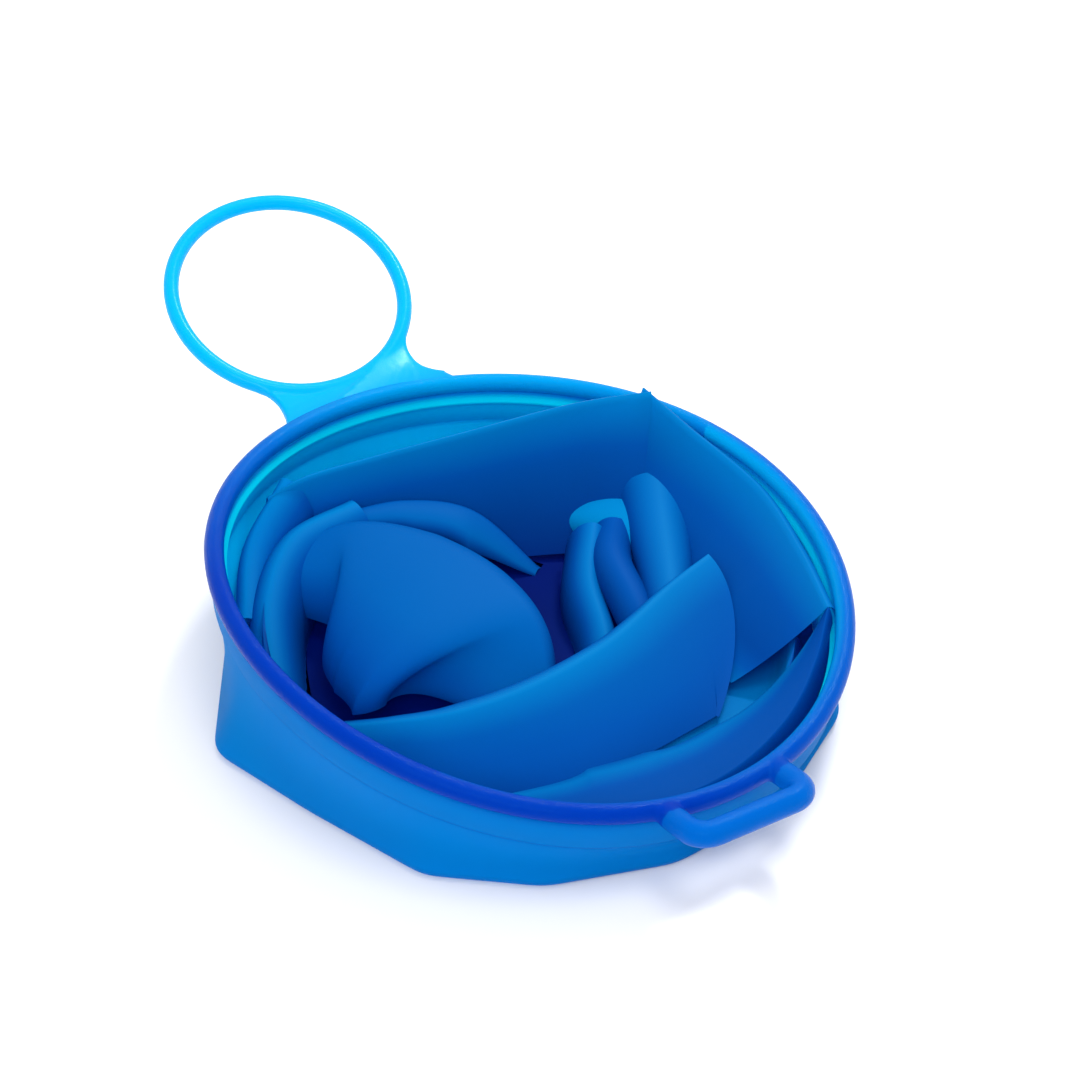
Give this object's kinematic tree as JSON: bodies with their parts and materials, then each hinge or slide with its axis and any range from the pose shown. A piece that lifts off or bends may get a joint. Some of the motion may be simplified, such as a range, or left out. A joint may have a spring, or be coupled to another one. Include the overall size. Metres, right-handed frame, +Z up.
{
  "type": "folding sick bowl",
  "caption": "Soft silicone folding sick bowl with an oval bead rim, a hand ring, a closing loop and a pushed-down bag.",
  "frame": {"origin": "on the table under the middle of the rim, at the centre of the flat bottom the bag stands on", "axes": "+Z up from the table, +X from the hand ring towards the closing loop, +Y to the left of +X"},
  "size_m": [0.2746, 0.1742, 0.0652],
  "materials": {
    "bead_silicone": "glossy translucent royal-blue silicone",
    "ring_silicone": "glossy translucent sky-blue silicone",
    "bag_silicone": "satin translucent blue silicone",
    "fold_silicone": "matt translucent blue silicone, two layers deep"
  },
  "bodies": {
    "bag": {"bag_hem": "bag_silicone", "bag_floor": "fold_silicone", "crest_fold": "fold_silicone", "pillow_fold": "fold_silicone", "left_fold": "fold_silicone", "front_fold": "fold_silicone", "right_fold": "fold_silicone", "curl_fold": "fold_silicone", "curl_core": "fold_silicone"},
    "rim": {"rim_bead": "bead_silicone", "collar": "bag_silicone", "inner_ledge": "bag_silicone", "measure_rib": "bag_silicone", "web_root": "ring_silicone", "closing_loop": "bead_silicone", "outer_wall": "bag_silicone"},
    "ring": {"ring_web": "ring_silicone", "hand_ring": "ring_silicone"}
  },
  "joints": [
    {"name": "bag_unfold", "type": "slide", "parent": "bag", "child": "rim", "axis": [0, 0, 1], "range_m": [0, 0.09], "deforming": ["outer_wall"]},
    {"name": "ring_flex", "type": "hinge", "parent": "rim", "child": "ring", "pos_m": [-0.09701, -0.0002, 0.03414], "axis": [-0.0257, 0.9996, 0.0149], "range_deg": [-45, 70], "stiffness_Nm_per_rad": 0.05, "springref_deg": 2.86}
  ]
}
